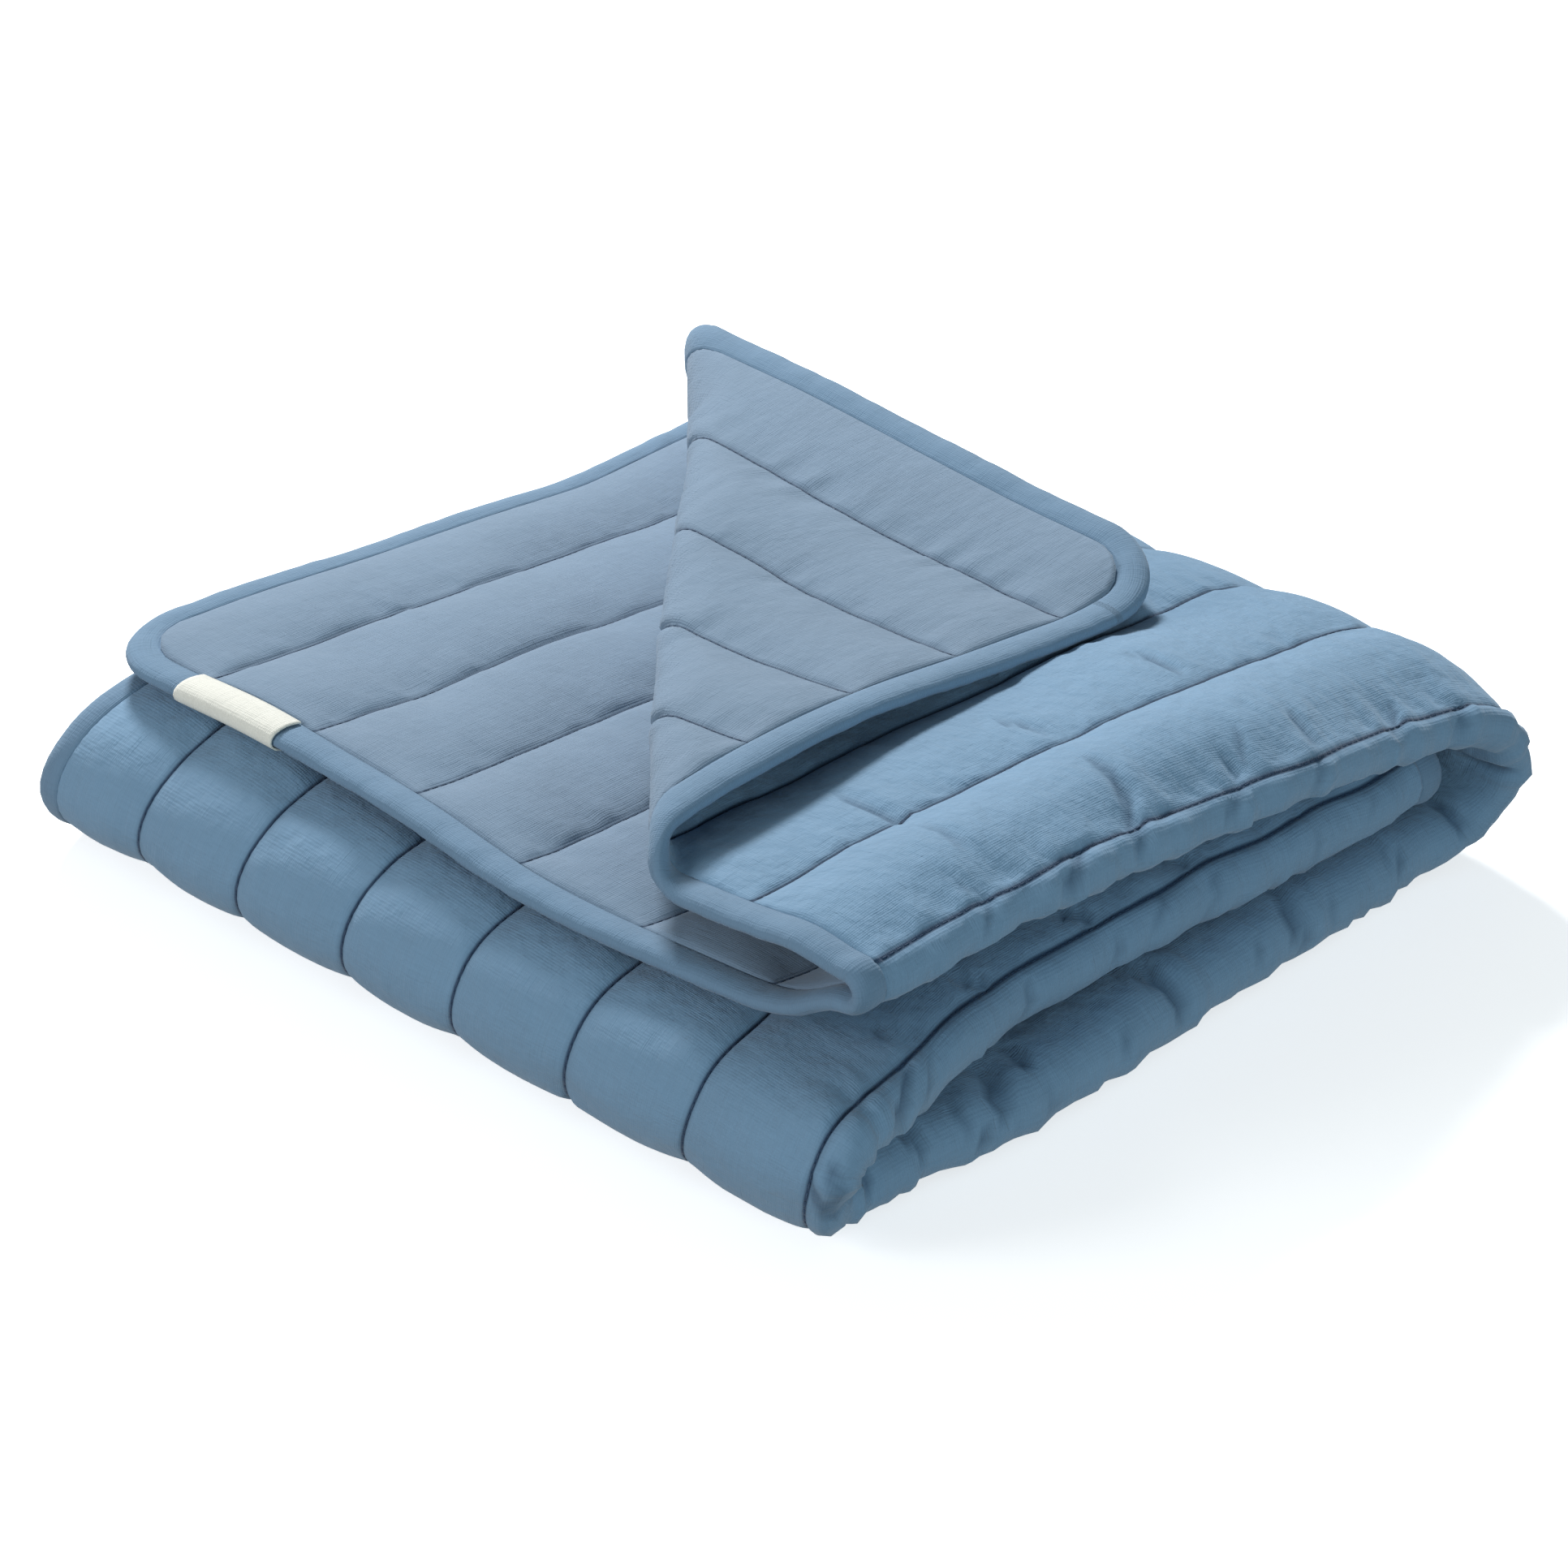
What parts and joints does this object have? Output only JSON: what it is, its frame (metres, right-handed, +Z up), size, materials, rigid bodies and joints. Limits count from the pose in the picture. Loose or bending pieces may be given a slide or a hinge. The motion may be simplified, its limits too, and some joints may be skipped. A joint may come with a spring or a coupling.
{
  "type": "folded crib blanket",
  "caption": "Quilted crib blanket in parallel channels with a bound edge, folded in half and in three, one corner turned back.",
  "frame": {"origin": "middle of the footprint, on the surface that the folded blanket lies on", "axes": "+Z up; +X towards the closed side of the half fold; -Y towards the big round fold that shows under the short bound edge with the label"},
  "size_m": [0.374, 0.349, 0.1034],
  "materials": {
    "quilted_cloth": "dusty blue quilted cotton, soft, matt",
    "binding_cloth": "dusty blue cotton bias binding, matt",
    "label_cloth": "cream cotton tape, plain, matt"
  },
  "bodies": {
    "root": {"quilted_body": "quilted_cloth", "edge_binding": "binding_cloth", "label_tape": "label_cloth"}
  },
  "joints": []
}
